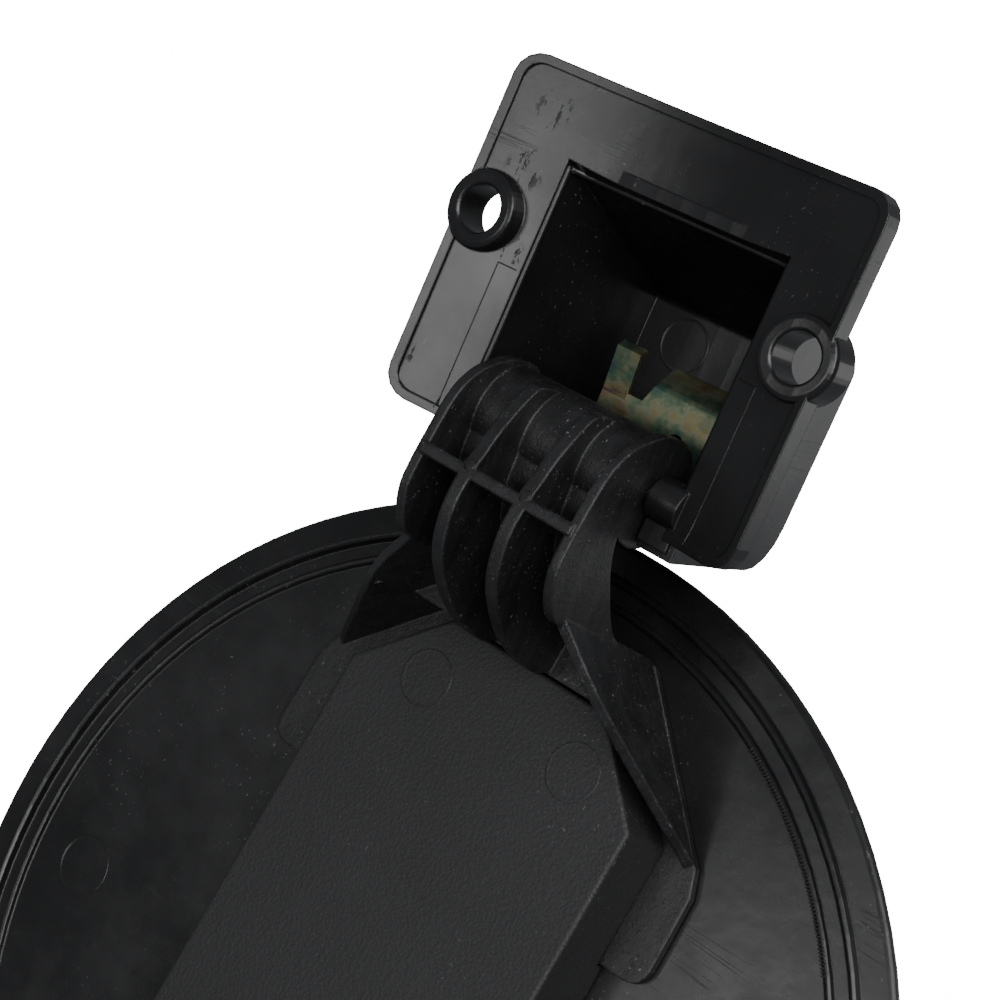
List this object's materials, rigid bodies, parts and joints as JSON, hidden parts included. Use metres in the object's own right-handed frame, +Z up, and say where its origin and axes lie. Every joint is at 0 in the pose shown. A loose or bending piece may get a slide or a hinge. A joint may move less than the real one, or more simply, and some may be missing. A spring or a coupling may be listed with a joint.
{
  "type": "fuel filler flap",
  "caption": "Round black plastic fuel filler flap on a ribbed gooseneck hinge arm, with its bowed screw-on hinge housing and leaf spring clip, standing open.",
  "frame": {"origin": "midway between the two screw holes, on the plane that the back of the screw eyelets seats on", "axes": "+X out of the car body through the closed flap, +Y back through the housing along the screws, +Z up along the hinge axis"},
  "size_m": [0.2166, 0.0469, 0.16],
  "materials": {
    "housing_plastic": "moulded black, satin to glossy, lightly scuffed",
    "pin_steel": "plain drawn steel",
    "spring_zinc": "yellow-green zinc plated spring steel",
    "arm_plastic": "moulded black, semi-matt with grainy rib tops",
    "disc_plastic": "moulded black, glossy with faint flow clouds",
    "pad_plastic": "matt dark grey-black"
  },
  "bodies": {
    "housing": {"hinge_housing": "housing_plastic", "hinge_pin": "pin_steel", "spring_clip": "spring_zinc"},
    "flap": {"hinge_arm": "arm_plastic", "flap_disc": "disc_plastic", "cover_pad": "pad_plastic"}
  },
  "joints": [
    {"name": "flap_hinge", "type": "hinge", "parent": "housing", "child": "flap", "pos_m": [0.0246, -0.001, 0], "axis": [0, 0, 1], "range_deg": [-78.3, 0]}
  ]
}
